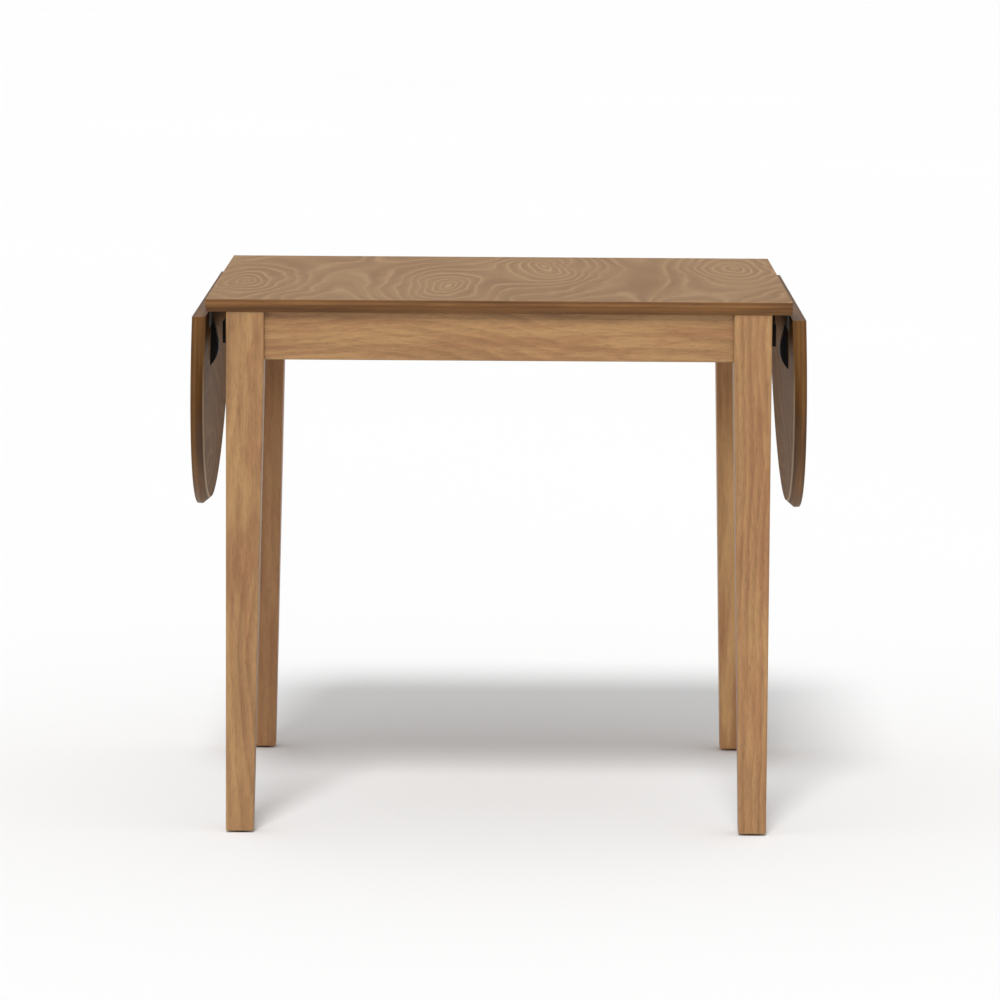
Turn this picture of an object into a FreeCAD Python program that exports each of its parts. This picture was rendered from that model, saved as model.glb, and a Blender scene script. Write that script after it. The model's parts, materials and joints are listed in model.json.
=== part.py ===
import FreeCAD, Part
import math
import os

# Drop leaf table: fixed rectangular top on four tapered legs, one half-oval leaf hinged on each end.
# Units are millimetres. +Z is up, the floor is Z = 0, the origin is the middle of the footprint.
# The leaves are on the -X and +X ends. The shape is stored with both leaves hanging.

V = FreeCAD.Vector

# ---------------------------------------------------------------- driving dimensions
HEIGHT = 740.0            # floor to the upper face of the top
TOP_W = 800.0             # fixed top, along X, between the two joint lines
TOP_D = 750.0             # fixed top, along Y
TOP_T = 18.0              # thickness of the top and of the leaves
LEAF_REACH = 300.0        # how far a raised leaf reaches past the joint line
EDGE_LAND = 7.0           # upright upper part of the edge
BEVEL_IN = 10.0           # how far the under-bevel sets the lower face back
ARRIS = 0.8               # eased upper edge
LEAF_GAP = 0.6            # joint gap between top and raised leaf

GLIDE_T = 2.5
GLIDE_R = 12.0
GLIDE_EASE = 0.6
LEG_TOP = 52.0
LEG_FOOT = 38.0
LEG_END_INSET = 27.0      # leg's outer face behind the joint line
LEG_FRONT_INSET = 11.0    # leg's outer face behind the front edge of the top
LEG_ROUND = 2.5           # rounded upright corners
FOOT_EASE = 1.5           # eased lower edge of each leg

APRON_H = 66.0
APRON_T = 20.0
APRON_RECESS = 8.0        # apron's outer face behind the leg's outer face
TENON_L = 18.0
TENON_T = 8.0
TENON_SHOULDER = 8.0
APRON_EASE = 1.0

AXIS_INSET = 3.0          # hinge axis, inward of the joint line
AXIS_DROP = 3.5           # hinge axis, below the underside of the top
OPEN_ANGLE = 88.0         # turn from hanging to level
HINGE_Y = 238.0
HINGE_LEN = 50.0
HINGE_PLATE_W = 28.0
HINGE_PLATE_T = 1.8
BARREL_R = 3.25
PIN_R = 1.6
PIN_CLEAR = 0.05
KNUCKLES = 5
KNUCKLE_GAP = 0.3
SWEEP_CLEAR = 0.35        # room round the other plate's knuckles
PIN_HEAD_R = 2.4
PIN_HEAD_T = 0.8
PIN_END_PLAY = 0.2
PLATE_HOLE_PITCH = 17.0
PLATE_HOLES_ACROSS = (0.72, 0.45, 0.72)

SLIDE_Y = 190.0           # middle of each support slide, from the centre line
SLIDE_W = 30.0
SLIDE_H = 18.0
SLIDE_LEN = 240.0
SLIDE_DROP = 8.4          # slide's upper face below the underside of the top
SLIDE_REST = 150.0        # slide's outer end inside the hinge axis when pushed in
SLIDE_OUT = 47.0          # slide's outer end past the hinge axis when pulled out
SLIDE_CLEAR = 0.3
SLIDE_NOSE = 2.0
DOWEL_R = 3.5
DOWEL_DROP = 14.0         # dowel standing below the slide
DOWEL_DEPTH = 12.0        # dowel held in the slide

RAIL_W = 20.0
RAIL_GROOVE = 6.0
RAIL_LEN = 195.0
RAIL_LIP = 8.0
RAIL_HOLE_INSET = 30.0

BRACKET_W = 40.0
BRACKET_H = 31.0
BRACKET_REACH = 20.5      # bracket's outer face past the apron's outer face
BRACKET_T = 2.5
BRACKET_LIP = 12.0
BRACKET_HOLE_Y = 9.0      # screw holes either side of the bracket's middle
BRACKET_HOLE_DROP = 0.66  # share of the bracket's height above its screws

CATCH_W = 26.0
CATCH_START = 21.0        # distances along the leaf are from the hinge axis
CATCH_END = 87.0
CATCH_LIP = 1.0
CATCH_KNEE = (49.0, 8.8)
CATCH_CREST = (68.0, 10.0)
CATCH_SCREWS = (38.0, 66.0)
CATCH_FLOOR = 4.0         # thickness left under each screw's head
CATCH_BORE_R = 4.2

BLOCK_LEG = 59.0          # corner block's outer face, along each apron from their corner
BLOCK_T = 35.0
BLOCK_H = 50.0
BLOCK_DROP = 8.0          # corner block's upper face below the underside of the top
BOLT_R = 3.0
BOLT_IN_LEG = 34.0
BOLT_STICKS_OUT = 14.0
WASHER_R = 9.0
WASHER_T = 1.6
NUT_R = 5.8
NUT_T = 5.0

CLIP_X = 130.0            # top clips, either side of the centre line
CLIP_T = 2.0
CLIP_W = 22.0
CLIP_LEG = 20.0
CLIP_HOLE = 0.6           # share of the clip's leg from its corner to its hole

# screws: head radius, shank radius, length
PLATE_SCREW = (3.4, 1.7, 14.0)
CLIP_SCREW = (3.4, 1.8, 15.0)
BRACKET_SCREW = (3.8, 1.8, 16.0)
CATCH_SCREW = (3.8, 1.8, 16.0)
RAIL_SCREW = (3.8, 2.0, 45.0)

# ---------------------------------------------------------------- derived positions
UNDER = HEIGHT - TOP_T
HALF_W = TOP_W / 2
HALF_D = TOP_D / 2
AXIS_X = HALF_W - AXIS_INSET
AXIS_Z = UNDER - AXIS_DROP
LEG_X = HALF_W - LEG_END_INSET
LEG_Y = HALF_D - LEG_FRONT_INSET
APRON_Z = UNDER - APRON_H
SIDE_X = LEG_X - APRON_RECESS
FRONT_Y = LEG_Y - APRON_RECESS
SLIDE_TOP = UNDER - SLIDE_DROP
SLIDE_BOTTOM = SLIDE_TOP - SLIDE_H
SLIDE_END = AXIS_X - SLIDE_REST
SLIDE_TRAVEL = SLIDE_REST + SLIDE_OUT
RAIL_END = SIDE_X - APRON_T
BOLT_Z = UNDER - BLOCK_DROP - BLOCK_H / 2
OUTWARD = V(1, 1, 0)
UPWARD = V(0, 0, 1)


# ---------------------------------------------------------------- helpers
def box(x0, x1, y0, y1, z0, z1):
    """Block between two corners."""
    return Part.makeBox(x1 - x0, y1 - y0, z1 - z0, V(x0, y0, z0))


def prism(points, sweep):
    """Solid swept from a closed outline of points."""
    wire = Part.makePolygon(points + [points[0]])
    return Part.Face(wire).extrude(sweep)


def half_turn(shape):
    """Copy of a right-hand piece for the left-hand end: half a turn about Z."""
    copy = shape.copy()
    copy.rotate(V(0, 0, 0), V(0, 0, 1), 180)
    return copy


def flipped(shape):
    """Copy mirrored front to back."""
    return shape.mirror(V(0, 0, 0), V(0, 1, 0))


def hang(shape):
    """Copy of a piece drawn on the level right leaf, swung down to hang."""
    copy = shape.copy()
    copy.rotate(V(AXIS_X, 0, AXIS_Z), V(0, 1, 0), OPEN_ANGLE)
    return copy


def both(shape):
    """A piece and its front-to-back mirror image."""
    return [shape, flipped(shape)]


def cut_all(shape, tools):
    """Shape with every tool's volume removed."""
    if not tools:
        return shape
    return shape.cut(Part.makeCompound(tools))


def screw(head_at, into, size):
    """Countersunk wood screw. head_at is the middle of the head's flat face."""
    head_r, shank_r, length = size
    head_h = head_r - shank_r
    tip = shank_r * 1.6
    head = Part.makeCone(head_r, shank_r, head_h)
    shank = Part.makeCylinder(shank_r, length - head_h - tip, V(0, 0, head_h))
    point = Part.makeCone(shank_r, 0.3, tip, V(0, 0, length - tip))
    body = head.fuse([shank, point]).removeSplitter()
    turn = FreeCAD.Rotation(V(0, 0, 1), into)
    body.Placement = FreeCAD.Placement(head_at, turn)
    return body


def cross_cut(head_at, into, head_r):
    """Cross-shaped drive recess of a screw head."""
    arm = head_r * 0.55
    half = arm * 0.22
    deep = arm * 0.45
    cross = box(-arm, arm, -half, half, 0, deep).fuse(box(-half, half, -arm, arm, 0, deep))
    cross.Placement = FreeCAD.Placement(head_at, FreeCAD.Rotation(V(0, 0, 1), into))
    return cross


def driven(spots, into, size):
    """Screws with their drive recess, and the plain solids that cut their holes."""
    plain = [screw(at, into, size) for at in spots]
    shown = [s.cut(cross_cut(at, into, size[0])) for s, at in zip(plain, spots)]
    return shown, plain


# ---------------------------------------------------------------- top and leaves
def fixed_top():
    """Veneered panel with an under-bevel on its front and back edges."""
    outline = [
        V(-HALF_W, -HALF_D + BEVEL_IN, UNDER),
        V(-HALF_W, HALF_D - BEVEL_IN, UNDER),
        V(-HALF_W, HALF_D, HEIGHT - EDGE_LAND),
        V(-HALF_W, HALF_D, HEIGHT - ARRIS),
        V(-HALF_W, HALF_D - ARRIS, HEIGHT),
        V(-HALF_W, -HALF_D + ARRIS, HEIGHT),
        V(-HALF_W, -HALF_D, HEIGHT - ARRIS),
        V(-HALF_W, -HALF_D, HEIGHT - EDGE_LAND),
    ]
    return prism(outline, V(TOP_W, 0, 0))


def oval(inset, z):
    """Closed oval outline round the joint line's middle."""
    centre = V(HALF_W, 0, z)
    far = V(HALF_W, HALF_D - inset, z)
    side = V(HALF_W + LEAF_REACH - inset, 0, z)
    return Part.Wire(Part.Ellipse(far, side, centre).toShape())


def level_leaf():
    """Half-oval panel of the right leaf, drawn level."""
    rings = [oval(BEVEL_IN, UNDER), oval(0, HEIGHT - EDGE_LAND)]
    rings += [oval(0, HEIGHT - ARRIS), oval(ARRIS, HEIGHT)]
    slab = Part.makeLoft(rings, True, True)
    inner = HALF_W - LEAF_REACH - 1
    waste = box(inner, HALF_W + LEAF_GAP, -HALF_D - 1, HALF_D + 1, UNDER - 1, HEIGHT + 1)
    return slab.cut(waste)


# ---------------------------------------------------------------- legs and aprons
def leg_ring(width, inset, z):
    """Rounded square section of the right back leg. Only its inner faces taper."""
    x1 = LEG_X - inset
    y1 = LEG_Y - inset
    x0 = LEG_X - width + inset
    y0 = LEG_Y - width + inset
    r = LEG_ROUND
    k = r * (1 - math.sqrt(0.5))
    edges = [
        Part.LineSegment(V(x0 + r, y0, z), V(x1 - r, y0, z)),
        Part.Arc(V(x1 - r, y0, z), V(x1 - k, y0 + k, z), V(x1, y0 + r, z)),
        Part.LineSegment(V(x1, y0 + r, z), V(x1, y1 - r, z)),
        Part.Arc(V(x1, y1 - r, z), V(x1 - k, y1 - k, z), V(x1 - r, y1, z)),
        Part.LineSegment(V(x1 - r, y1, z), V(x0 + r, y1, z)),
        Part.Arc(V(x0 + r, y1, z), V(x0 + k, y1 - k, z), V(x0, y1 - r, z)),
        Part.LineSegment(V(x0, y1 - r, z), V(x0, y0 + r, z)),
        Part.Arc(V(x0, y0 + r, z), V(x0 + k, y0 + k, z), V(x0 + r, y0, z)),
    ]
    return Part.Wire([edge.toShape() for edge in edges])


def blank_leg():
    """Right back leg before its mortises and bolt hole."""
    rings = [
        leg_ring(LEG_FOOT, FOOT_EASE, GLIDE_T),
        leg_ring(LEG_FOOT, 0, GLIDE_T + FOOT_EASE),
        leg_ring(LEG_TOP, 0, APRON_Z),
        leg_ring(LEG_TOP, 0, UNDER),
    ]
    return Part.makeLoft(rings, True, True)


def foot_glide():
    """Round plastic glide under the right back leg."""
    x = LEG_X - LEG_FOOT / 2
    y = LEG_Y - LEG_FOOT / 2
    disc = Part.makeCylinder(GLIDE_R, GLIDE_T, V(x, y, 0))
    return disc.makeChamfer(GLIDE_EASE, [e for e in disc.Edges if e.BoundBox.ZMax < GLIDE_T / 2])


def apron_bar(half_len, outer):
    """Apron along X with its outer face at +Y, and a tenon at each end."""
    y0 = outer - APRON_T
    ease = APRON_EASE
    outline = [
        V(-half_len, y0, UNDER),
        V(-half_len, y0, APRON_Z + ease),
        V(-half_len, y0 + ease, APRON_Z),
        V(-half_len, outer - ease, APRON_Z),
        V(-half_len, outer, APRON_Z + ease),
        V(-half_len, outer, UNDER),
    ]
    bar = prism(outline, V(2 * half_len, 0, 0))
    mid = outer - APRON_T / 2
    reach = half_len + TENON_L
    tongue = box(-reach, reach, mid - TENON_T / 2, mid + TENON_T / 2,
                 APRON_Z + TENON_SHOULDER, UNDER - TENON_SHOULDER)
    return bar.fuse(tongue).removeSplitter()


def slide_window(y):
    """Volume cut from the right apron for a support slide to run through."""
    reach = SLIDE_W / 2 + SLIDE_CLEAR
    return box(SIDE_X - APRON_T - 1, SIDE_X + 1, y - reach, y + reach,
               SLIDE_BOTTOM - SLIDE_CLEAR, SLIDE_TOP + SLIDE_CLEAR)


def right_apron():
    """Right apron with its two slide windows."""
    bar = apron_bar(LEG_Y - LEG_TOP, SIDE_X)
    bar.rotate(V(0, 0, 0), V(0, 0, 1), -90)
    return cut_all(bar, [slide_window(-SLIDE_Y), slide_window(SLIDE_Y)])


def corner_block():
    """Diagonal block between the back and right aprons."""
    x = SIDE_X - APRON_T
    y = FRONT_Y - APRON_T
    z = UNDER - BLOCK_DROP - BLOCK_H
    near = BLOCK_LEG
    far = BLOCK_LEG + BLOCK_T
    outline = [V(x - near, y, z), V(x - far, y, z), V(x, y - far, z), V(x, y - near, z)]
    return prism(outline, V(0, 0, BLOCK_H))


def diagonal(along, z):
    """Point on the diagonal through the leg's inner corner. Positive is outward."""
    step = along * math.sqrt(0.5)
    return V(LEG_X - LEG_TOP + step, LEG_Y - LEG_TOP + step, z)


def block_face():
    """Distance from the leg's inner corner to the block's inward face, negative."""
    x = SIDE_X - APRON_T
    y = FRONT_Y - APRON_T
    edge = x + y - BLOCK_LEG - BLOCK_T
    return (edge - (LEG_X - LEG_TOP) - (LEG_Y - LEG_TOP)) * math.sqrt(0.5)


def leg_bolt():
    """Hanger bolt from the corner block into the leg."""
    start = block_face() - BOLT_STICKS_OUT
    length = BOLT_IN_LEG - start
    return Part.makeCylinder(BOLT_R, length, diagonal(start, BOLT_Z), OUTWARD)


def bolt_washer():
    """Washer of the leg bolt."""
    at = diagonal(block_face() - WASHER_T, BOLT_Z)
    disc = Part.makeCylinder(WASHER_R, WASHER_T, at, OUTWARD)
    return disc.cut(leg_bolt())


def bolt_nut():
    """Hexagon nut of the leg bolt."""
    points = []
    for corner in range(6):
        turn = math.radians(60 * corner)
        points.append(V(NUT_R * math.cos(turn), NUT_R * math.sin(turn), 0))
    nut = prism(points, V(0, 0, NUT_T))
    at = diagonal(block_face() - WASHER_T - NUT_T, BOLT_Z)
    nut.Placement = FreeCAD.Placement(at, FreeCAD.Rotation(UPWARD, OUTWARD))
    return nut.cut(leg_bolt())


# ---------------------------------------------------------------- fixing of the top
def back_clip(x):
    """Steel angle between the back apron's inner face and the top."""
    y = FRONT_Y - APRON_T
    up = box(x - CLIP_W / 2, x + CLIP_W / 2, y - CLIP_T, y, UNDER - CLIP_LEG, UNDER)
    flat = box(x - CLIP_W / 2, x + CLIP_W / 2, y - CLIP_LEG, y, UNDER - CLIP_T, UNDER)
    return up.fuse(flat).removeSplitter()


def clip_screws(x):
    """Two screws of a back clip."""
    y = FRONT_Y - APRON_T
    reach = CLIP_LEG * CLIP_HOLE
    up, up_hole = driven([V(x, y - reach, UNDER - CLIP_T)], UPWARD, CLIP_SCREW)
    side, side_hole = driven([V(x, y - CLIP_T, UNDER - reach)], V(0, 1, 0), CLIP_SCREW)
    return up + side, up_hole + side_hole


# ---------------------------------------------------------------- hinges
def knuckle(index):
    """Start and end along Y of one barrel knuckle of the back hinge."""
    pitch = HINGE_LEN / KNUCKLES
    start = HINGE_Y - HINGE_LEN / 2 + index * pitch
    return start + KNUCKLE_GAP / 2, start + pitch - KNUCKLE_GAP / 2


def barrel(radius, y0, y1):
    """Cylinder about the right hinge axis."""
    return Part.makeCylinder(radius, y1 - y0, V(AXIS_X, y0, AXIS_Z), V(0, 1, 0))


def hinge_half(parity, direction):
    """Plate and knuckles of the back right hinge. direction -1 is under the top, 1 under the leaf."""
    y0 = HINGE_Y - HINGE_LEN / 2
    y1 = HINGE_Y + HINGE_LEN / 2
    reach = AXIS_X + direction * HINGE_PLATE_W
    plate = box(min(AXIS_X, reach), max(AXIS_X, reach), y0, y1, UNDER - HINGE_PLATE_T, UNDER)
    own = []
    other = []
    for index in range(KNUCKLES):
        a, b = knuckle(index)
        if index % 2 == parity:
            own.append(barrel(BARREL_R, a, b))
        else:
            other.append(barrel(BARREL_R + SWEEP_CLEAR, a - KNUCKLE_GAP, b + KNUCKLE_GAP))
    shaped = plate.cut(other).fuse(own).removeSplitter()
    bore = barrel(PIN_R + PIN_CLEAR, y0 - 1, y1 + 1)
    if direction < 0:
        return shaped.cut(bore)
    relief = box(AXIS_X - 4, HALF_W + LEAF_GAP, y0 - 1, y1 + 1, UNDER - SWEEP_CLEAR, UNDER + 1)
    return shaped.cut([bore, relief])


def hinge_pin():
    """Pin of the back right hinge."""
    y0 = HINGE_Y - HINGE_LEN / 2
    y1 = HINGE_Y + HINGE_LEN / 2
    low = y0 - PIN_END_PLAY
    high = y1 + PIN_END_PLAY
    pin = barrel(PIN_R, low, high)
    heads = [barrel(PIN_HEAD_R, low - PIN_HEAD_T, low), barrel(PIN_HEAD_R, high, high + PIN_HEAD_T)]
    return pin.fuse(heads).removeSplitter()


def plate_spots(direction):
    """Screw positions on one plate of the back right hinge."""
    z = UNDER - HINGE_PLATE_T
    spots = []
    for row, across in enumerate(PLATE_HOLES_ACROSS):
        y = HINGE_Y + (row - 1) * PLATE_HOLE_PITCH
        spots.append(V(AXIS_X + direction * HINGE_PLATE_W * across, y, z))
    return spots


# ---------------------------------------------------------------- leaf catches
def level_catch():
    """Ramp under the right leaf at the back slide, drawn level."""
    y0 = SLIDE_Y - CATCH_W / 2

    def at(point):
        return V(AXIS_X + point[0], y0, UNDER - point[1])

    start = at((CATCH_START, 0))
    lip = at((CATCH_START, CATCH_LIP))
    knee = at(CATCH_KNEE)
    end = at((CATCH_END, 0))
    edges = [
        Part.LineSegment(start, lip).toShape(),
        Part.LineSegment(lip, knee).toShape(),
        Part.Arc(knee, at(CATCH_CREST), end).toShape(),
        Part.LineSegment(end, start).toShape(),
    ]
    return Part.Face(Part.Wire(edges)).extrude(V(0, CATCH_W, 0))


def catch_spots():
    """Positions of the catch screws' heads."""
    return [V(AXIS_X + along, SLIDE_Y, UNDER - CATCH_FLOOR) for along in CATCH_SCREWS]


def catch_bores():
    """Sunk holes for the catch screws' heads, open downwards."""
    return [Part.makeCylinder(CATCH_BORE_R, CATCH_END, at, V(0, 0, -1)) for at in catch_spots()]


# ---------------------------------------------------------------- support slides
def slide():
    """Back right support slide, pushed in."""
    y0 = SLIDE_Y - SLIDE_W / 2
    x0 = SLIDE_END - SLIDE_LEN
    nose = SLIDE_NOSE
    outline = [
        V(x0, y0, SLIDE_BOTTOM),
        V(SLIDE_END - nose, y0, SLIDE_BOTTOM),
        V(SLIDE_END, y0, SLIDE_BOTTOM + nose),
        V(SLIDE_END, y0, SLIDE_TOP - nose),
        V(SLIDE_END - nose, y0, SLIDE_TOP),
        V(x0, y0, SLIDE_TOP),
    ]
    return prism(outline, V(0, SLIDE_W, 0))


def stop_dowel():
    """Dowel under the slide that meets the apron when the slide is fully out."""
    x = SIDE_X - APRON_T - DOWEL_R - SLIDE_CLEAR - SLIDE_TRAVEL
    z0 = SLIDE_BOTTOM - DOWEL_DROP
    return Part.makeCylinder(DOWEL_R, DOWEL_DROP + DOWEL_DEPTH, V(x, SLIDE_Y, z0))


def slide_rail(side):
    """Grooved rail on one side of the back right slide. side is -1 or 1 along Y."""
    inner = SLIDE_Y + side * (SLIDE_W / 2 + SLIDE_CLEAR - RAIL_GROOVE)
    outer = inner + side * RAIL_W
    groove = inner + side * RAIL_GROOVE
    x0 = RAIL_END - RAIL_LEN
    low = SLIDE_BOTTOM - RAIL_LIP
    rail = box(x0, RAIL_END, min(inner, outer), max(inner, outer), low, UNDER)
    slot = box(x0 - 1, RAIL_END + 1, min(inner, groove), max(inner, groove),
               SLIDE_BOTTOM - SLIDE_CLEAR, SLIDE_TOP + SLIDE_CLEAR)
    return rail.cut(slot)


def rail_spots(side):
    """Screw positions under one rail."""
    middle = SLIDE_Y + side * (SLIDE_W / 2 + SLIDE_CLEAR + (RAIL_W - RAIL_GROOVE) / 2)
    z = SLIDE_BOTTOM - RAIL_LIP
    inset = RAIL_HOLE_INSET
    return [V(RAIL_END - inset, middle, z), V(RAIL_END - RAIL_LEN + inset, middle, z)]


def bearer_bracket():
    """Folded steel bracket that carries the back right slide outside the apron."""
    y0 = SLIDE_Y - BRACKET_W / 2
    y1 = SLIDE_Y + BRACKET_W / 2
    x1 = SIDE_X + BRACKET_REACH
    z1 = SLIDE_BOTTOM - SLIDE_CLEAR
    z0 = z1 - BRACKET_H
    t = BRACKET_T
    back = box(SIDE_X, SIDE_X + t, y0, y1, z0, z1)
    shelf = box(SIDE_X, x1, y0, y1, z1 - t, z1)
    lip = box(x1 - t, x1, y0, y1, z1 - BRACKET_LIP, z1)
    cheeks = [box(SIDE_X, x1, y0, y0 + t, z0, z1), box(SIDE_X, x1, y1 - t, y1, z0, z1)]
    return back.fuse([shelf, lip] + cheeks).removeSplitter()


def bracket_spots():
    """Screw positions on a bracket's back plate."""
    z = SLIDE_BOTTOM - SLIDE_CLEAR - BRACKET_H * BRACKET_HOLE_DROP
    return [V(SIDE_X + BRACKET_T, SLIDE_Y + side * BRACKET_HOLE_Y, z) for side in (-1, 1)]


# ---------------------------------------------------------------- assembly
def save(name, pieces):
    """Write one node."""
    shape = pieces[0] if len(pieces) == 1 else Part.makeCompound(pieces)
    shape.exportStep("parts/" + name + ".step")


def four(shape):
    """A right back piece at all four corners: right back, right front, left front, left back."""
    return both(shape) + [half_turn(s) for s in both(shape)]


os.makedirs("parts", exist_ok=True)

back_bar = apron_bar(LEG_X - LEG_TOP, FRONT_Y)
front_bar = flipped(back_bar)
side_bar = right_apron()
bolt = leg_bolt()
leg = cut_all(blank_leg(), [back_bar, side_bar, bolt])
block = corner_block().cut(bolt)

clip_shown = []
clip_holes = []
clips = []
for x in (-CLIP_X, CLIP_X):
    shown, holes = clip_screws(x)
    clip_shown += [s for screw_shape in shown for s in both(screw_shape)]
    clip_holes += both(Part.makeCompound(holes))
    clips += both(back_clip(x).cut(Part.makeCompound(holes)))

top_half = hinge_half(0, -1)
leaf_half = hinge_half(1, 1)
top_plate_screws, top_plate_holes = driven(plate_spots(-1), UPWARD, PLATE_SCREW)
leaf_plate_screws, leaf_plate_holes = driven(plate_spots(1), UPWARD, PLATE_SCREW)
catch_screws, catch_holes = driven(catch_spots(), UPWARD, CATCH_SCREW)

rails = [slide_rail(-1), slide_rail(1)]
rail_screws, rail_holes = driven(rail_spots(-1) + rail_spots(1), UPWARD, RAIL_SCREW)
rails = [cut_all(rail, rail_holes) for rail in rails]
bracket_screws, bracket_holes = driven(bracket_spots(), V(-1, 0, 0), BRACKET_SCREW)
bracket = cut_all(bearer_bracket(), bracket_holes)

four_bracket_holes = four(Part.makeCompound(bracket_holes))
side_bar = cut_all(side_bar, four_bracket_holes)
back_bar = cut_all(back_bar, clip_holes)
front_bar = cut_all(front_bar, clip_holes)
top_holes = clip_holes
top_holes += four(Part.makeCompound(top_plate_holes))
top_holes += four(Part.makeCompound(rail_holes))
top = cut_all(fixed_top(), top_holes)

CORNERS = ("back_right", "front_right", "front_left", "back_left")


def save_corners(name, shape):
    """One node at each corner from a right back piece, or from a compound of its solids."""
    for corner, piece in zip(CORNERS, four(shape)):
        save(name + "_" + corner, piece.Solids)


def save_group(name, pieces):
    """One node that holds the same pieces at all four corners."""
    save(name, [piece for shape in pieces for piece in four(shape)])


dowel = stop_dowel()
save("table_top", [top])
save("apron_front", [front_bar])
save("apron_back", [back_bar])
save("apron_right", [side_bar])
save("apron_left", [half_turn(side_bar)])
save("top_clips", clips)
save("clip_screws", clip_shown)
save_corners("leg", leg)
save_corners("corner_block", block)
save_corners("slide_rails", Part.makeCompound(rails))
save_corners("bearer_bracket", bracket)
save_corners("support_slide", slide().cut(dowel))
save_corners("stop_dowel", dowel)
save_group("leg_bolts", [bolt])
save_group("bolt_washers", [bolt_washer()])
save_group("bolt_nuts", [bolt_nut()])
save_group("foot_glides", [foot_glide()])
save_group("hinge_plates_top", [cut_all(top_half, top_plate_holes)])
save_group("hinge_pins", [hinge_pin()])
save_group("hinge_screws_top", top_plate_screws)
save_group("rail_screws", rail_screws)
save_group("bracket_screws", bracket_screws)

leaf_tools = both(Part.makeCompound(leaf_plate_holes)) + both(Part.makeCompound(catch_holes))
plate = cut_all(leaf_half, leaf_plate_holes)
catch = cut_all(level_catch(), catch_bores() + catch_holes)
leaf_nodes = {
    "leaf": [cut_all(level_leaf(), leaf_tools)],
    "hinge_plates": both(plate),
    "hinge_screws": [s for piece in leaf_plate_screws for s in both(piece)],
    "leaf_catches": both(catch),
    "catch_screws": [s for piece in catch_screws for s in both(piece)],
}
for name, pieces in leaf_nodes.items():
    hanging = [hang(piece) for piece in pieces]
    save(name + "_right", hanging)
    save(name + "_left", [half_turn(piece) for piece in hanging])
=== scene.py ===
import json
import math

import bpy
from mathutils import Matrix, Vector


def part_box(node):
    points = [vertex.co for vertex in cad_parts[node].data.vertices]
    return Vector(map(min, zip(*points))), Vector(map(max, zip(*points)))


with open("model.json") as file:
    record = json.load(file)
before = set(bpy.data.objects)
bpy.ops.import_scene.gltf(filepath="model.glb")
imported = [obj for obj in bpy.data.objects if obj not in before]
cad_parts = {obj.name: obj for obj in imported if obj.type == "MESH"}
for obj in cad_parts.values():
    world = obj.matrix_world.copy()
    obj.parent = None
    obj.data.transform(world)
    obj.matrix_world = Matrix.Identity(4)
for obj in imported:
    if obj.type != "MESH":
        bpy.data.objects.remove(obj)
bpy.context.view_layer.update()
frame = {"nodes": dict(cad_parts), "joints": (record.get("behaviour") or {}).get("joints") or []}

NODES = frame["nodes"]
JOINTS = {joint["name"]: joint for joint in frame["joints"]}

# ---------------------------------------------------------------- sizes, in metres
TOP_LOW, TOP_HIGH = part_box("table_top")
TOP_THICK = TOP_HIGH[2] - TOP_LOW[2]
LEAF_REACH = 0.3  # from a leaf's joint line to its furthest point
RIM_RADIUS = 0.34  # middling radius of a leaf's half oval

# Veneer figure, laid out on the level panels with the grain along Y.
EYE_STRETCH = 4.6  # length of an eye's rings along the grain over their width
EYE_BLEND = 22.0  # per metre; larger makes two eyes' rings meet more sharply
RING_COUNT = 60.0  # growth lines in the first metre out from an eye
RING_POWER = 0.85  # under 1, so the lines stand further apart away from an eye
WANDER_ACROSS = 0.075  # how far the whole figure is bent across the grain
WANDER_ALONG = 0.2  # and along it
WOBBLE = 0.003  # small waves in each line
EYE_CORE = (0.006, 0.002)  # distances at which the pale middle of an eye begins and is full
EYE_GLOW = (0.08, 0.015)  # the same for the stronger lines near an eye
JOINT_SHADE_REACH = 0.055  # how far painted shade reaches from a joint line, standing in for the shade under the top

# Lipping, by depth under the top face or height over the lower face.
GLUE_START = (0.0002, 0.0008)  # depths over which the dark glue line sets in
GLUE_END = (0.0024, 0.0046)  # and fades out
BEVEL_SHADE_START = (0.6 * TOP_THICK, 0.8 * TOP_THICK)  # depths over which painted shade on the downward-facing under-bevel sets in
HIGHLIGHT_START = 0.0028  # height at which the painted highlight on a rim's lower arris begins
HIGHLIGHT_FULL = 0.0008  # and is full

# Solid wood.
PITH = (0.16, -0.12)  # where growth rings are centred, in the two directions across the grain
SEED_STEP = (1.37, 0.113, 0.071)  # shift of the noise from one seed to the next
CURL = 0.007  # small waves in the rings
FIBRE_WAVE = 0.006  # and in the fibres

# Roundness of the edges between two faces.
WOOD_ARRIS = 0.0035
LIPPING_ARRIS = 0.0008
COAT_ARRIS = 0.0005
STEEL_ARRIS = 0.0003


# ---------------------------------------------------------------- colours, as seen on screen (sRGB)
def rgb(red, green, blue):
    """Linear colour from 0 to 255 screen values."""
    out = []
    for value in (red, green, blue):
        value /= 255
        out.append(value / 12.92 if value <= 0.04045 else ((value + 0.055) / 1.055) ** 2.4)
    return (*out, 1.0)


# Veneers: light, middle and dark.
FACE = (rgb(173, 138, 99), rgb(149, 114, 75), rgb(124, 90, 57))
BACKING = (rgb(134, 98, 53), rgb(117, 81, 38), rgb(98, 65, 27))
# Lipping of the fixed top and of the leaves: pale and dark.
EDGE = (rgb(133, 92, 53), rgb(100, 66, 35))
RIM = (rgb(118, 80, 38), rgb(86, 55, 22))
# Painted highlight on the leaves' lower rim arris.
RIM_HIGHLIGHT = rgb(177, 154, 125)
# Legs, aprons and slides.
FRAME_GOLD = rgb(170, 131, 86)
FRAME_TAN = rgb(155, 115, 75)
FRAME_RED = rgb(146, 101, 66)
FRAME_DARK = rgb(105, 66, 38)
# Pale arrises of the frame: wear, and a painted highlight.
FRAME_WEAR_AND_HIGHLIGHT = rgb(197, 164, 118)
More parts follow.
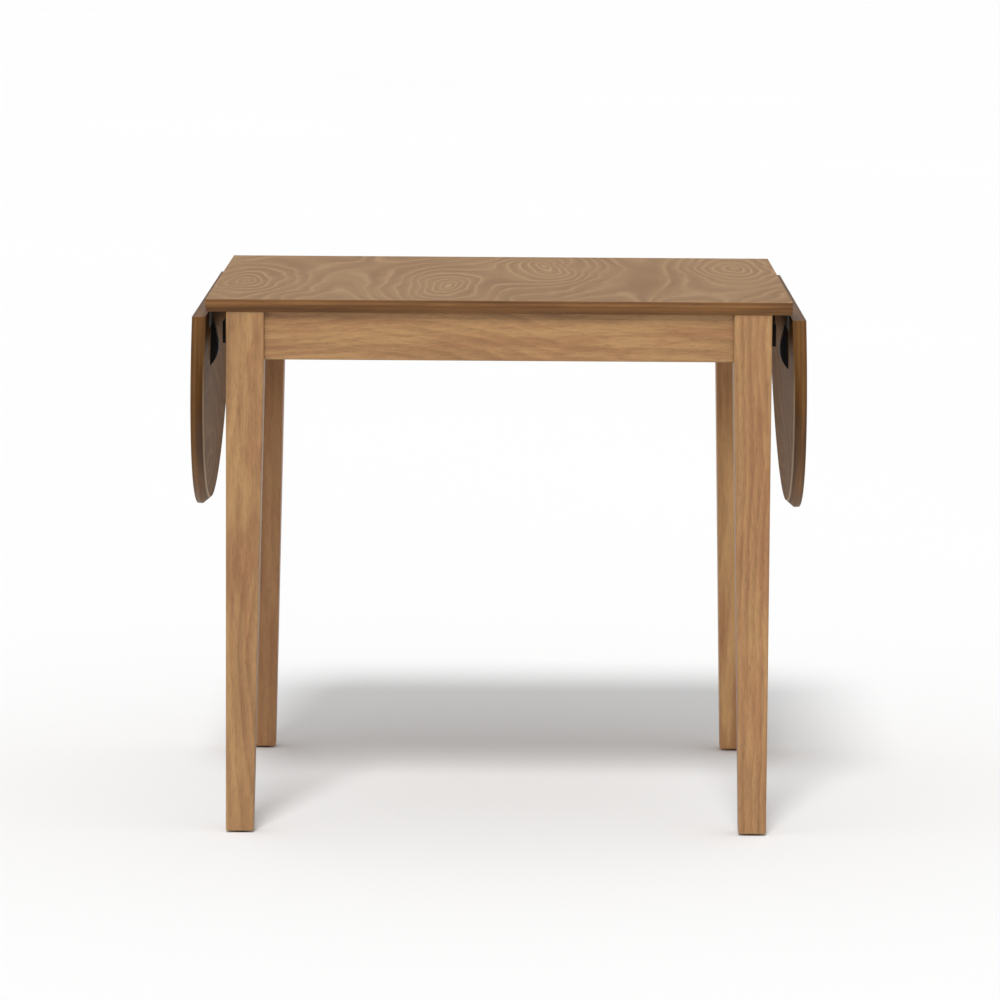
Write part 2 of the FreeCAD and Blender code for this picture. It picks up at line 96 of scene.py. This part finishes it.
# Boards: pale, tan and dark. The inner ones, under the top, are unfinished.
OUTER_BOARD = (FRAME_GOLD, FRAME_TAN, FRAME_DARK)
INNER_BOARD = (rgb(196, 160, 116), rgb(160, 122, 84), FRAME_RED)
# Metal and plastic: dark and light.
ZINC = (rgb(150, 152, 156), rgb(206, 206, 204))
# Hinge steel, darkened as painted shade where it sits under the top.
HINGE_STEEL_SHADED = (rgb(84, 80, 74), rgb(128, 124, 117))
POWDER_BLACK = (rgb(9, 7, 6), rgb(20, 16, 14))
POWDER_RUBBED = rgb(64, 61, 58)
CATCH_BLACK = (rgb(6, 5, 5), rgb(15, 14, 14))
GLIDE_BROWN = (rgb(58, 48, 40), rgb(84, 72, 60))


# ---------------------------------------------------------------- node tree helper
class Tree:
    """A material's node tree, with short calls for the nodes used here."""

    def __init__(self, name):
        self.material = bpy.data.materials.new(name)
        self.material.use_nodes = True
        self.nodes = self.material.node_tree.nodes
        self.links = self.material.node_tree.links
        self.nodes.clear()
        self.out = self.nodes.new("ShaderNodeOutputMaterial")
        self.shader = self.nodes.new("ShaderNodeBsdfPrincipled")
        self.links.new(self.shader.outputs[0], self.out.inputs[0])
        self.object = self.nodes.new("ShaderNodeTexCoord").outputs["Object"]

    def put(self, socket, value):
        """Links a socket, or sets its value."""
        if isinstance(value, bpy.types.NodeSocket):
            self.links.new(value, socket)
        else:
            socket.default_value = value

    def math(self, operation, a, b=0.0, c=0.0, clamp=False):
        """One operation on numbers."""
        node = self.nodes.new("ShaderNodeMath")
        node.operation = operation
        node.use_clamp = clamp
        for socket, value in zip(node.inputs, (a, b, c)):
            self.put(socket, value)
        return node.outputs[0]

    def vector(self, operation, a, b=(0, 0, 0)):
        """One operation on vectors. A length, distance or dot product comes back as a number."""
        node = self.nodes.new("ShaderNodeVectorMath")
        node.operation = operation
        self.put(node.inputs[0], a)
        self.put(node.inputs[1], b)
        return node.outputs[1] if operation in ("LENGTH", "DISTANCE", "DOT_PRODUCT") else node.outputs[0]

    def split(self, vector):
        """The X, Y and Z of a vector."""
        node = self.nodes.new("ShaderNodeSeparateXYZ")
        self.put(node.inputs[0], vector)
        return node.outputs[0], node.outputs[1], node.outputs[2]

    def join(self, x, y, z):
        """A vector from its X, Y and Z."""
        node = self.nodes.new("ShaderNodeCombineXYZ")
        for socket, value in zip(node.inputs, (x, y, z)):
            self.put(socket, value)
        return node.outputs[0]

    def moved(self, vector, location=(0, 0, 0), rotation=(0, 0, 0)):
        """A vector turned, then shifted."""
        node = self.nodes.new("ShaderNodeMapping")
        self.put(node.inputs["Vector"], vector)
        node.inputs["Location"].default_value = location
        node.inputs["Rotation"].default_value = rotation
        return node.outputs[0]

    def noise(self, vector, scale, detail=2.0, rough=0.5, distortion=0.0):
        """Noise from 0 to 1. scale is cycles a metre along each axis."""
        node = self.nodes.new("ShaderNodeTexNoise")
        self.put(node.inputs["Vector"], self.vector("MULTIPLY", vector, scale))
        node.inputs["Scale"].default_value = 1.0
        node.inputs["Detail"].default_value = detail
        node.inputs["Roughness"].default_value = rough
        node.inputs["Distortion"].default_value = distortion
        return node.outputs[0]

    def between(self, value, low, high, out_low=0.0, out_high=1.0):
        """Smooth step from out_low to out_high, as value goes from low to high."""
        node = self.nodes.new("ShaderNodeMapRange")
        node.interpolation_type = "SMOOTHSTEP"
        self.put(node.inputs["Value"], value)
        node.inputs["From Min"].default_value = low
        node.inputs["From Max"].default_value = high
        node.inputs["To Min"].default_value = out_low
        node.inputs["To Max"].default_value = out_high
        return node.outputs[0]

    def mix(self, factor, a, b, blend="MIX"):
        """Colour a where factor is 0, going over to colour b."""
        node = self.nodes.new("ShaderNodeMix")
        node.data_type = "RGBA"
        node.blend_type = blend
        self.put(node.inputs[0], factor)
        self.put(node.inputs[6], a)
        self.put(node.inputs[7], b)
        return node.outputs[2]

    def bump(self, height, distance, strength=1.0, normal=None):
        """Normal of a fine relief. distance is the metres that a height of 1 stands for."""
        node = self.nodes.new("ShaderNodeBump")
        node.inputs["Strength"].default_value = strength
        node.inputs["Distance"].default_value = distance
        self.put(node.inputs["Height"], height)
        if normal is not None:
            self.put(node.inputs["Normal"], normal)
        return node.outputs[0]

    def soft_edge(self, radius):
        """Normal rounded at the arrises, and how near an arris a point is, from 0 to 1."""
        node = self.nodes.new("ShaderNodeBevel")
        node.samples = 4
        node.inputs["Radius"].default_value = radius
        flat = self.nodes.new("ShaderNodeNewGeometry").outputs["Normal"]
        nearness = self.between(self.vector("DOT_PRODUCT", node.outputs[0], flat), 0.995, 0.86)
        return node.outputs[0], nearness

    def finish(self, color, roughness, normal, metallic=0.0, specular=0.5):
        """Connects the shader and gives back the material."""
        self.put(self.shader.inputs["Base Color"], color)
        self.put(self.shader.inputs["Roughness"], roughness)
        self.put(self.shader.inputs["Normal"], normal)
        self.shader.inputs["Metallic"].default_value = metallic
        self.shader.inputs["Specular IOR Level"].default_value = specular
        return self.material


# ---------------------------------------------------------------- a panel's coordinates
def as_is(tree):
    """Object coordinates of a panel that already lies level."""
    return tree.object


def level_turn(joint_name):
    """Rotation that brings a hanging leaf up to level."""
    joint = JOINTS[joint_name]
    return Matrix.Rotation(math.radians(joint["range_deg"][1]), 3, Vector(joint["axis"]))


def levelled(joint_name):
    """Like as_is, for a hanging leaf turned back up to level."""
    turn = level_turn(joint_name)
    pivot = Vector(JOINTS[joint_name]["pos_m"])
    return lambda tree: tree.moved(tree.object, pivot - turn @ pivot, turn.to_euler())


# ---------------------------------------------------------------- wood
def fibres(tree, grain, along, across):
    """Streaks, finer streaks and short dark pores, each from 0 to 1.

    grain is a vector whose X runs along the grain. along and across are the streaks' cycles a metre.
    """
    streak = tree.noise(grain, (along, across, across), 4.0, 0.62)
    fine = tree.noise(grain, (along * 5, across * 4, across * 4), 2.0, 0.6)
    pore = tree.noise(grain, (along * 6, across * 3.4, across * 3.4), 1.0, 0.5)
    return streak, fine, tree.between(pore, 0.62, 0.72)


def tinted(tree, color, shade):
    """A colour times a grey level."""
    return tree.mix(1.0, color, tree.join(shade, shade, shade), "MULTIPLY")


def eye_distance(tree, flat, eyes):
    """Distance to the nearest eye, in metres across the grain, blended smoothly between eyes.

    eyes are (x, y, reach). An eye whose reach is below 0 gives way sooner to its neighbours.
    """
    total = None
    for x, y, reach in eyes:
        offset = tree.vector("SUBTRACT", flat, (x, y, 0))
        scaled = tree.vector("MULTIPLY", offset, (1.0, 1 / EYE_STRETCH, 0))
        power = tree.math("MULTIPLY_ADD", tree.vector("LENGTH", scaled), -EYE_BLEND, reach)
        near = tree.math("EXPONENT", power)
        total = near if total is None else tree.math("ADD", total, near)
    return tree.math("DIVIDE", tree.math("LOGARITHM", total, math.e), -EYE_BLEND)


def veneer(name, vector, eyes, tones, lines=1.0, gloss=0.22, joint_x=0.0):
    """Flat-cut veneer: pale growth lines ring each eye and nest in points where two sets meet.

    eyes are as eye_distance has them, on the level panel. tones are the light, middle and dark
    colours. lines multiplies the number of growth lines. Painted shade darkens the face beside a
    joint line at X = joint_x, unless that is 0, for the shade the top casts there.
    """
    light, mid, deep = tones
    tree = Tree(name)
    x, y, _ = tree.split(vector(tree))
    flat = tree.join(x, y, 0.0)

    # Distance out from the eyes, bent by noise, is counted off into growth lines.
    warp_x = tree.math("SUBTRACT", tree.noise(flat, (11.0, 3.5, 1.0), 1.6, 0.45), 0.5)
    warp_y = tree.math("SUBTRACT", tree.noise(tree.join(y, x, 0.7), (5.0, 10.0, 1.0), 1.4, 0.45), 0.5)
    warped = tree.join(
        tree.math("MULTIPLY_ADD", warp_x, WANDER_ACROSS, x),
        tree.math("MULTIPLY_ADD", warp_y, WANDER_ALONG, y),
        0.0,
    )
    wobble = tree.noise(flat, (45.0, 14.0, 1.0), 2.0, 0.5)
    away = tree.math("MULTIPLY_ADD", wobble, WOBBLE, eye_distance(tree, warped, eyes))
    spread = tree.math("POWER", tree.math("MAXIMUM", away, 0.0), RING_POWER)
    count = tree.math("MULTIPLY", spread, RING_COUNT * lines)

    # Each line is pale, then fades to a dark one. They are strong in some places and faint in others.
    phase = tree.math("FRACT", count)
    pale = tree.math("SUBTRACT", tree.between(phase, 0.0, 0.16), tree.between(phase, 0.2, 0.46))
    dark = tree.math("SUBTRACT", tree.between(phase, 0.5, 0.84), tree.between(phase, 0.88, 1.0))
    minor = tree.math("PINGPONG", tree.math("MULTIPLY", count, 3.0), 0.5)
    core = tree.between(away, *EYE_CORE)
    near = tree.between(away, *EYE_GLOW, 0.0, 0.35)
    broad = tree.noise(flat, (7.0, 2.0, 1.0), 2.0, 0.5)
    strength = tree.between(tree.noise(flat, (14.0, 5.0, 1.0), 2.0, 0.5), 0.32, 0.68, 0.1, 0.5)
    streak, fine, pore = fibres(tree, tree.join(y, x, 0.0), 11.0, 240.0)

    # Colour.
    color = tree.mix(tree.between(broad, 0.3, 0.7, 0.0, 0.35), mid, deep)
    color = tree.mix(tree.math("MULTIPLY", dark, strength), color, deep)
    bright = tree.math("MULTIPLY", pale, tree.math("ADD", strength, near), clamp=True)
    bright = tree.math("MAXIMUM", bright, tree.math("MULTIPLY", core, 0.7))
    bright = tree.math("MULTIPLY", bright, tree.between(fine, 0.25, 0.6, 0.45, 1.15), clamp=True)
    color = tree.mix(bright, color, light)
    shade = tree.math("MULTIPLY_ADD", streak, 0.3, 0.85)
    shade = tree.math("MULTIPLY_ADD", minor, 0.12, shade)
    shade = tree.math("MULTIPLY_ADD", tree.math("SUBTRACT", fine, 0.5), 0.2, shade)
    shade = tree.math("SUBTRACT", shade, tree.math("MULTIPLY", pore, 0.16))
    # Painted shade: the face darkens towards the joint line, where the top shades it.
    if joint_x:
        reach = tree.math("ABSOLUTE", tree.math("SUBTRACT", x, joint_x))
        shade = tree.math("MULTIPLY", shade, tree.between(reach, 0.0, JOINT_SHADE_REACH, 0.55, 1.0))

    # Open pores and slightly raised streaks.
    relief = tree.math("MULTIPLY_ADD", streak, 0.6, tree.math("MULTIPLY", pale, 0.25))
    relief = tree.math("SUBTRACT", relief, tree.math("MULTIPLY", pore, 0.8))
    rough = tree.math("MULTIPLY_ADD", streak, 0.16, tree.math("MULTIPLY_ADD", broad, 0.1, 0.46))
    normal = tree.bump(relief, distance=0.00012, strength=0.5)
    return tree.finish(tinted(tree, color, shade), rough, normal, specular=gloss)


def edge_band(name, vector, pale, dark, run, joint_x=0.0):
    """Stained lipping whose grain runs along X, along Y, or along the RIM of a leaf.

    A leaf's rim is half an oval about the middle of its joint line, which is at X = joint_x. Its
    lower arris has a painted highlight, away from the joint.
    """
    tree = Tree(name)
    x, y, z = tree.split(vector(tree))
    if run == "X":
        grain = tree.join(x, z, y)
    elif run == "Y":
        grain = tree.join(y, z, x)
    else:
        out = tree.math("DIVIDE", tree.math("SUBTRACT", x, joint_x), LEAF_REACH)
        side = tree.math("DIVIDE", y, TOP_HIGH[1])
        along = tree.math("MULTIPLY", tree.math("ARCTAN2", side, out), RIM_RADIUS)
        reach = tree.math("MULTIPLY", tree.vector("LENGTH", tree.join(out, side, 0.0)), LEAF_REACH)
        grain = tree.join(along, z, reach)

    # Colour, darker on the glue line, with painted shade on the under-bevel.
    streak, fine, pore = fibres(tree, grain, 7.0, 210.0)
    broad = tree.noise(grain, (4.0, 60.0, 60.0), 3.0, 0.6)
    color = tree.mix(tree.between(broad, 0.3, 0.7), pale, dark)
    under = tree.math("SUBTRACT", TOP_HIGH[2], z)
    # Painted shade on the under-bevel, which faces down.
    bevel = tree.between(under, *BEVEL_SHADE_START, 0.0, 0.24)
    glue = tree.math("SUBTRACT", tree.between(under, *GLUE_START), tree.between(under, *GLUE_END))
    shade = tree.math("MULTIPLY_ADD", streak, 0.3, 0.87)
    shade = tree.math("MULTIPLY_ADD", tree.math("SUBTRACT", fine, 0.5), 0.14, shade)
    shade = tree.math("SUBTRACT", shade, tree.math("MULTIPLY", pore, 0.18))
    shade = tree.math("MULTIPLY", shade, tree.math("MULTIPLY_ADD", glue, -0.28, 1.04))
    shade = tree.math("SUBTRACT", shade, bevel)
    rounded, arris = tree.soft_edge(LIPPING_ARRIS)
    # Arrises lighten towards the pale tone, from wear and a painted highlight.
    color = tree.mix(tree.math("MULTIPLY", arris, 0.2), tinted(tree, color, shade), pale)
    if run == "RIM":
        # Painted highlight on the rim's lower arris, away from the joint, where a bevel facet catches light.
        low = tree.between(under, TOP_THICK - HIGHLIGHT_START, TOP_THICK - HIGHLIGHT_FULL, 0.0, 0.8)
        rim_highlight = tree.math("MULTIPLY", low, tree.between(tree.math("ABSOLUTE", out), 0.15, 0.45))
        color = tree.mix(rim_highlight, color, RIM_HIGHLIGHT)

    # Open pores.
    rough = tree.math("MULTIPLY_ADD", streak, 0.16, 0.42)
    relief = tree.math("SUBTRACT", streak, tree.math("MULTIPLY", pore, 0.8))
    normal = tree.bump(relief, distance=0.00015, strength=0.6, normal=rounded)
    return tree.finish(color, rough, normal, specular=0.2)


def solid_wood(name, grain_axis, seed, pale, tan, dark, tone=1.0, contrast=1.0, rings=75.0, drift=0.16):
    """Solid board with growth rings about a pith outside it, so faces, edges and ends agree.

    tone is its brightness, rings the growth rings a metre, and drift how many metres they stray.
    """
    tree = Tree(name)
    x, y, z = tree.split(tree.object)
    order = {"X": (x, y, z), "Y": (y, x, z), "Z": (z, x, y)}[grain_axis]
    place = Vector([seed * step for step in SEED_STEP])
    point = tree.moved(tree.join(*order), location=place)
    _, wide, deep = tree.split(point)

    # Growth rings about the pith, swaying along the board.
    sway = tree.noise(point, (2.2, 5.0, 5.0), 2.0, 0.5)
    curl = tree.noise(point, (13.0, 46.0, 46.0), 3.0, 0.6)
    wide_off = tree.math("SUBTRACT", wide, place.y + PITH[0])
    deep_off = tree.math("SUBTRACT", deep, place.z + PITH[1])
    radius = tree.vector("LENGTH", tree.join(wide_off, deep_off, 0.0))
    radius = tree.math("MULTIPLY_ADD", sway, drift, radius)
    radius = tree.math("MULTIPLY_ADD", curl, CURL, radius)
    phase = tree.math("FRACT", tree.math("MULTIPLY", radius, rings))
    ring = tree.math("SUBTRACT", tree.between(phase, 0.1, 0.8), tree.between(phase, 0.84, 1.0))

    # Broad bands and patches of colour, and fibres that wave a little.
    broad = tree.noise(point, (2.4, 22.0, 22.0), 3.0, 0.55, 0.5)
    patch = tree.noise(point, (4.5, 34.0, 34.0), 3.0, 0.6, 0.9)
    wave = tree.noise(point, (16.0, 11.0, 11.0), 2.0, 0.5)
    wavy = tree.vector("ADD", point, tree.join(0.0, tree.math("MULTIPLY", wave, FIBRE_WAVE), 0.0))
    streak, fine, pore = fibres(tree, wavy, 14.0, 190.0)
    fleck = tree.noise(wavy, (70.0, 420.0, 420.0), 2.0, 0.55)

    # Colour, paler on the arrises, from wear and a painted highlight.
    color = tree.mix(tree.between(broad, 0.36, 0.64), pale, tan)
    color = tree.mix(tree.between(patch, 0.46, 0.68, 0.0, 0.7 * contrast), color, FRAME_RED)
    depth = tree.between(broad, 0.3, 0.7, 0.1 * contrast, 0.36 * contrast)
    color = tree.mix(tree.math("MULTIPLY", ring, depth), color, dark)
    shade = tree.math("MULTIPLY_ADD", tree.math("SUBTRACT", streak, 0.5), 0.5 * contrast, tone)
    shade = tree.math("MULTIPLY_ADD", tree.math("SUBTRACT", fleck, 0.5), 0.42, shade)
    shade = tree.math("MULTIPLY_ADD", tree.math("SUBTRACT", fine, 0.5), 0.24, shade)
    shade = tree.math("SUBTRACT", shade, tree.math("MULTIPLY", pore, 0.14))
    rounded, arris = tree.soft_edge(WOOD_ARRIS)
    # Pale arrises: wear, and a painted highlight where they catch the light.
    color = tree.mix(tree.math("MULTIPLY", arris, 0.6), tinted(tree, color, shade), FRAME_WEAR_AND_HIGHLIGHT)

    # Open pores and slightly raised streaks.
    relief = tree.math("MULTIPLY_ADD", streak, 0.7, tree.math("MULTIPLY", ring, -0.25))
    relief = tree.math("SUBTRACT", relief, tree.math("MULTIPLY", pore, 0.9))
    rough = tree.math("MULTIPLY_ADD", streak, 0.15, tree.math("MULTIPLY_ADD", broad, 0.1, 0.36))
    normal = tree.bump(relief, distance=0.00018, strength=0.6, normal=rounded)
    return tree.finish(color, rough, normal, specular=0.36)


# ---------------------------------------------------------------- metal and plastic
def steel(name, low, high):
    """Plated steel with fine rolling lines and a mottled spangle."""
    tree = Tree(name)
    spangle = tree.noise(tree.object, (260.0, 260.0, 260.0), 2.0, 0.6)
    lines = tree.noise(tree.object, (2400.0, 140.0, 2400.0), 3.0, 0.6)
    color = tree.mix(spangle, low, high)
    rounded, _ = tree.soft_edge(STEEL_ARRIS)
    rough = tree.math("MULTIPLY_ADD", lines, 0.2, tree.math("MULTIPLY_ADD", spangle, 0.12, 0.2))
    normal = tree.bump(lines, distance=0.00003, strength=0.5, normal=rounded)
    return tree.finish(color, rough, normal, metallic=1.0)


def black_coat(name):
    """Black powder coat with a slight orange peel, rubbed grey at the arrises."""
    tree = Tree(name)
    peel = tree.noise(tree.object, (900.0, 900.0, 900.0), 2.0, 0.5)
    cloud = tree.noise(tree.object, (60.0, 60.0, 60.0), 3.0, 0.6)
    color = tree.mix(cloud, *POWDER_BLACK)
    rounded, arris = tree.soft_edge(COAT_ARRIS)
    color = tree.mix(tree.math("MULTIPLY", arris, 0.3), color, POWDER_RUBBED)
    rough = tree.math("MULTIPLY_ADD", cloud, 0.14, 0.38)
    normal = tree.bump(peel, distance=0.00006, strength=0.5, normal=rounded)
    return tree.finish(color, rough, normal, specular=0.25)


def moulded(name, low, high):
    """Moulded plastic with a fine spark-eroded texture and faint flow marks."""
    tree = Tree(name)
    spark = tree.noise(tree.object, (2600.0, 2600.0, 2600.0), 2.0, 0.6)
    flow = tree.noise(tree.object, (35.0, 90.0, 35.0), 3.0, 0.5, 1.2)
    color = tree.mix(flow, low, high)
    rounded, arris = tree.soft_edge(COAT_ARRIS)
    color = tree.mix(tree.math("MULTIPLY", arris, 0.3), color, high)
    rough = tree.math("MULTIPLY_ADD", flow, 0.16, tree.math("MULTIPLY_ADD", spark, 0.1, 0.42))
    normal = tree.bump(spark, distance=0.00004, strength=0.6, normal=rounded)
    return tree.finish(color, rough, normal, specular=0.3)


# ---------------------------------------------------------------- materials onto the CAD nodes
def dress(node, *materials):
    """Replaces a CAD node's materials."""
    mesh = NODES[node].data
    mesh.materials.clear()
    for material in materials:
        mesh.materials.append(material)


def dress_panel(node, level, joint_side, over, under, rim, joint_edge):
    """Veneer on a panel's two faces, lipping round its rim and on its straight joint edges.

    level turns the panel's normals to level. joint_side is the X direction its joint edge faces,
    or 0 for both ways.
    """
    dress(node, over, under, rim, joint_edge)
    for face in NODES[node].data.polygons:
        normal = level @ face.normal
        if abs(normal.z) > 0.9:
            face.material_index = 0 if normal.z > 0 else 1
        elif abs(normal.x) > abs(normal.y) and normal.x * joint_side >= 0:
            face.material_index = 3
        else:
            face.material_index = 2


# The last two of the top's eyes lie past its front and back edges and only bend the lines.
TOP_EYES = [
    (-0.360, -0.060, -0.1),
    (-0.078, -0.141, 0.0),
    (0.065, 0.181, 0.0),
    (0.344, 0.202, -0.1),
    (0.260, -0.460, -1.2),
    (-0.240, 0.470, -1.2),
]
RIGHT_EYES = [
    (0.480, -0.090, 0.0),
    (0.620, 0.110, -0.2),
    (0.520, 0.360, -0.6),
]
LEFT_EYES = [
    (-0.490, 0.080, 0.0),
    (-0.625, -0.120, -0.2),
    (-0.540, -0.360, -0.6),
]
UNDER_LINES = 0.6  # undersides have fewer growth lines
UNDER_GLOSS = 0.1  # and less gloss

dress_panel(
    "table_top", Matrix.Identity(3), 0,
    veneer("top veneer", as_is, TOP_EYES, FACE),
    veneer("top underside veneer", as_is, TOP_EYES[2:], BACKING, UNDER_LINES, UNDER_GLOSS),
    edge_band("top edge", as_is, *EDGE, "X"),
    edge_band("top joint edge", as_is, *EDGE, "Y"),
)
for side, eyes, inward in (("right", RIGHT_EYES, -1), ("left", LEFT_EYES, 1)):
    hinge = side + "_leaf_hinge"
    hinge_x = JOINTS[hinge]["pos_m"][0]
    panel = levelled(hinge)
    dress_panel(
        "leaf_" + side, level_turn(hinge), inward,
        veneer(side + " leaf veneer", panel, eyes, FACE),
        veneer(side + " leaf underside veneer", panel, eyes[1:], BACKING, UNDER_LINES, UNDER_GLOSS, hinge_x),
        edge_band(side + " leaf edge", panel, *RIM, "RIM", hinge_x),
        edge_band(side + " leaf joint edge", panel, *RIM, "Y"),
    )

# Each leg's seed, pale and tan colours, brightness, growth rings a metre and their drift.
LEG_LOOKS = {
    "front_left": (6, FRAME_GOLD, FRAME_TAN, 0.93, 75.0, 0.1),
    "front_right": (2, FRAME_GOLD, FRAME_TAN, 1.02, 150.0, 0.03),
    # The back legs' brightness is raised as painted light that lifts the shade they stand in under the top;
    # the back right one the most.
    "back_left": (3, FRAME_TAN, FRAME_RED, 1.24, 75.0, 0.1),
    "back_right": (4, FRAME_GOLD, FRAME_TAN, 1.54, 110.0, 0.05),
}
# First seed of each other kind of board.
DOWEL_SEED = 7
BLOCK_SEED = 11
SLIDE_SEED = 21
RAIL_SEED = 31
APRON_SEED = 41

for index, (corner, look) in enumerate(LEG_LOOKS.items()):
    seed, pale, tan, tone, rings, drift = look
    leg = solid_wood("leg wood " + corner, "Z", seed, pale, tan, FRAME_DARK, tone, 1.0, rings, drift)
    dress("leg_" + corner, leg)
    block = solid_wood("block wood " + corner, "Z", BLOCK_SEED + index, *INNER_BOARD, 1.0, 0.7)
    dress("corner_block_" + corner, block)
    slide = solid_wood("slide wood " + corner, "X", SLIDE_SEED + index, *OUTER_BOARD, 0.9, 0.8)
    dress("support_slide_" + corner, slide)
    rail = solid_wood("rail wood " + corner, "X", RAIL_SEED + index, *INNER_BOARD, 1.0, 0.7)
    dress("slide_rails_" + corner, rail)
for index, (side, axis) in enumerate((("front", "X"), ("back", "X"), ("left", "Y"), ("right", "Y"))):
    apron = solid_wood("apron wood " + side, axis, APRON_SEED + index, *OUTER_BOARD, 0.95, 0.85)
    dress("apron_" + side, apron)

dowel_wood = solid_wood("dowel wood", "Z", DOWEL_SEED, *INNER_BOARD, 1.0, 0.5)
zinc = steel("zinc plated steel", *ZINC)
# Hinge steel darkened as painted shade.
hinge_steel = steel("hinge steel with painted shade", *HINGE_STEEL_SHADED)
coat = black_coat("black powder coat")
catch_plastic = moulded("black catch plastic", *CATCH_BLACK)
glide_plastic = moulded("glide plastic", *GLIDE_BROWN)
for corner in LEG_LOOKS:
    dress("stop_dowel_" + corner, dowel_wood)
    dress("bearer_bracket_" + corner, coat)
for side in ("left", "right"):
    dress("leaf_catches_" + side, catch_plastic)
    dress("catch_screws_" + side, zinc)
    dress("hinge_plates_" + side, hinge_steel)
    dress("hinge_screws_" + side, hinge_steel)
for node in ("hinge_plates_top", "hinge_pins", "hinge_screws_top"):
    dress(node, hinge_steel)
for node in (
    "top_clips", "clip_screws", "rail_screws", "bracket_screws",
    "leg_bolts", "bolt_washers", "bolt_nuts",
):
    dress(node, zinc)
dress("foot_glides", glide_plastic)

# ---------------------------------------------------------------- floor, light and camera
FLOOR_HALF = 80.0
FLOOR_TONES = ((0.88, 0.88, 0.88, 1), (0.90, 0.90, 0.90, 1))
SURROUNDINGS = 0.66
SUN_TOWARD = (0.08, 0.66, -0.747)  # from over the camera, down towards the table's back
SUN_SPREAD = 15.0  # degrees
SUN_POWER = 1.97
SENSOR_WIDTH = 36.0  # mm
LENS = 194.7  # mm
CLIP_START = 0.1
CLIP_END = 300.0
CAMERA_PLACE = (0.01976, -7.71585, 1.38846)
YAW, PITCH, ROLL = -0.00231, 0.12489, -0.00636  # radians: to the right, down, and about the view


def floor():
    """Pale studio floor."""
    half = FLOOR_HALF
    mesh = bpy.data.meshes.new("floor")
    corners = [(-half, -half, 0), (half, -half, 0), (half, half, 0), (-half, half, 0)]
    mesh.from_pydata(corners, [], [(0, 1, 2, 3)])
    piece = bpy.data.objects.new("floor", mesh)
    bpy.context.scene.collection.objects.link(piece)
    tree = Tree("pale floor")
    cloud = tree.noise(tree.object, (0.4, 0.4, 0.4), 2.0, 0.5)
    color = tree.mix(cloud, *FLOOR_TONES)
    fine = tree.noise(tree.object, (60.0, 60.0, 60.0), 2.0, 0.5)
    normal = tree.bump(fine, distance=0.0002, strength=0.2)
    mesh.materials.append(tree.finish(color, 0.9, normal, specular=0.1))


def surroundings():
    """Even pale surroundings."""
    world = bpy.data.worlds.new("studio")
    world.use_nodes = True
    background = world.node_tree.nodes["Background"]
    background.inputs[0].default_value = (1.0, 1.0, 1.0, 1.0)
    background.inputs[1].default_value = SURROUNDINGS
    bpy.context.scene.world = world


def sun():
    """Distant soft key light."""
    lamp = bpy.data.lights.new("key", "SUN")
    lamp.angle = math.radians(SUN_SPREAD)
    lamp.energy = SUN_POWER
    piece = bpy.data.objects.new("key", lamp)
    piece.rotation_euler = Vector(SUN_TOWARD).to_track_quat("-Z", "Y").to_euler()
    bpy.context.scene.collection.objects.link(piece)


def camera():
    """Long lens a little above the table, looking straight at its front."""
    data = bpy.data.cameras.new("camera")
    data.sensor_width = SENSOR_WIDTH
    data.lens = LENS
    data.clip_start = CLIP_START
    data.clip_end = CLIP_END
    piece = bpy.data.objects.new("camera", data)
    ahead = Vector((math.sin(YAW) * math.cos(PITCH), math.cos(YAW) * math.cos(PITCH), -math.sin(PITCH)))
    right = Vector((math.cos(YAW), -math.sin(YAW), 0.0))
    down = ahead.cross(right)
    across = right * math.cos(ROLL) + down * math.sin(ROLL)
    lower = down * math.cos(ROLL) - right * math.sin(ROLL)
    turn = Matrix((across, -lower, -ahead)).transposed()
    piece.matrix_world = Matrix.Translation(CAMERA_PLACE) @ turn.to_4x4()
    bpy.context.scene.collection.objects.link(piece)
    bpy.context.scene.camera = piece


floor()
surroundings()
sun()
camera()
bpy.context.scene.view_settings.view_transform = "Standard"
